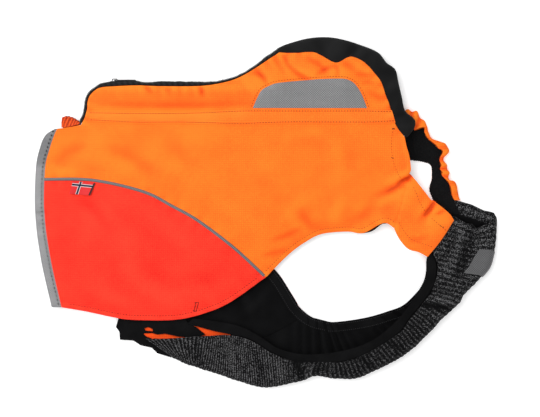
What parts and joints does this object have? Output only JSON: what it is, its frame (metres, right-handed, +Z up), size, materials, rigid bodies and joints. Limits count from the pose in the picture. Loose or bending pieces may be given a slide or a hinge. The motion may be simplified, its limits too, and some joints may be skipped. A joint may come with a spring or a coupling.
{
  "type": "dog hunting vest",
  "caption": "High-visibility dog vest laid flat on its side: orange and red shell, black collar, zip along the back, ribbed knit bib, reflective trims, shoulder strap and leg openings.",
  "frame": {"origin": "middle of the laid-out vest, on the surface that it rests on", "axes": "+X from the tail to the neck, +Y from the belly to the zip along the back, +Z up from the surface through the left side to the right side"},
  "size_m": [0.5785, 0.4389, 0.0271],
  "materials": {
    "orange_shell": "matt ripstop weave",
    "red_shell": "matt ripstop weave",
    "reflective": "glass-bead reflective, satin",
    "dark_reflective": "glass-bead reflective, satin",
    "black_lining": "smooth matt weave",
    "collar_cloth": "soft matt knit",
    "melange_knit": "ribbed melange knit",
    "flag_label": "woven satin label",
    "zip_metal": "satin"
  },
  "bodies": {
    "vest": {"side_right": "orange_shell", "back_right": "orange_shell", "flank_right": "red_shell", "tape_right": "reflective", "strap_right": "orange_shell", "lining_right": "black_lining", "band_right": "orange_shell", "patch_right": "reflective", "piping_right": "reflective", "label": "flag_label", "collar_right": "collar_cloth", "collar_left": "collar_cloth", "zip_tape": "black_lining", "tab": "red_shell", "zip_slider": "zip_metal", "bib": "melange_knit", "bib_lining": "black_lining", "bib_patch": "dark_reflective", "binding_right": "black_lining", "binding_left": "black_lining", "side_left": "orange_shell", "flank_left": "red_shell", "tape_left": "reflective", "lining_left": "black_lining", "facing_left": "orange_shell", "strap_left": "orange_shell", "strap_lining_left": "black_lining", "belly_strap_rear": "black_lining", "belly_strap_front": "black_lining"},
    "pull": {"zip_pull": "zip_metal"}
  },
  "joints": [
    {"name": "pull_swing", "type": "hinge", "parent": "vest", "child": "pull", "pos_m": [-0.18982, 0.16557, 0.00931], "axis": [0, 0, 1], "range_deg": [0, 165]}
  ]
}
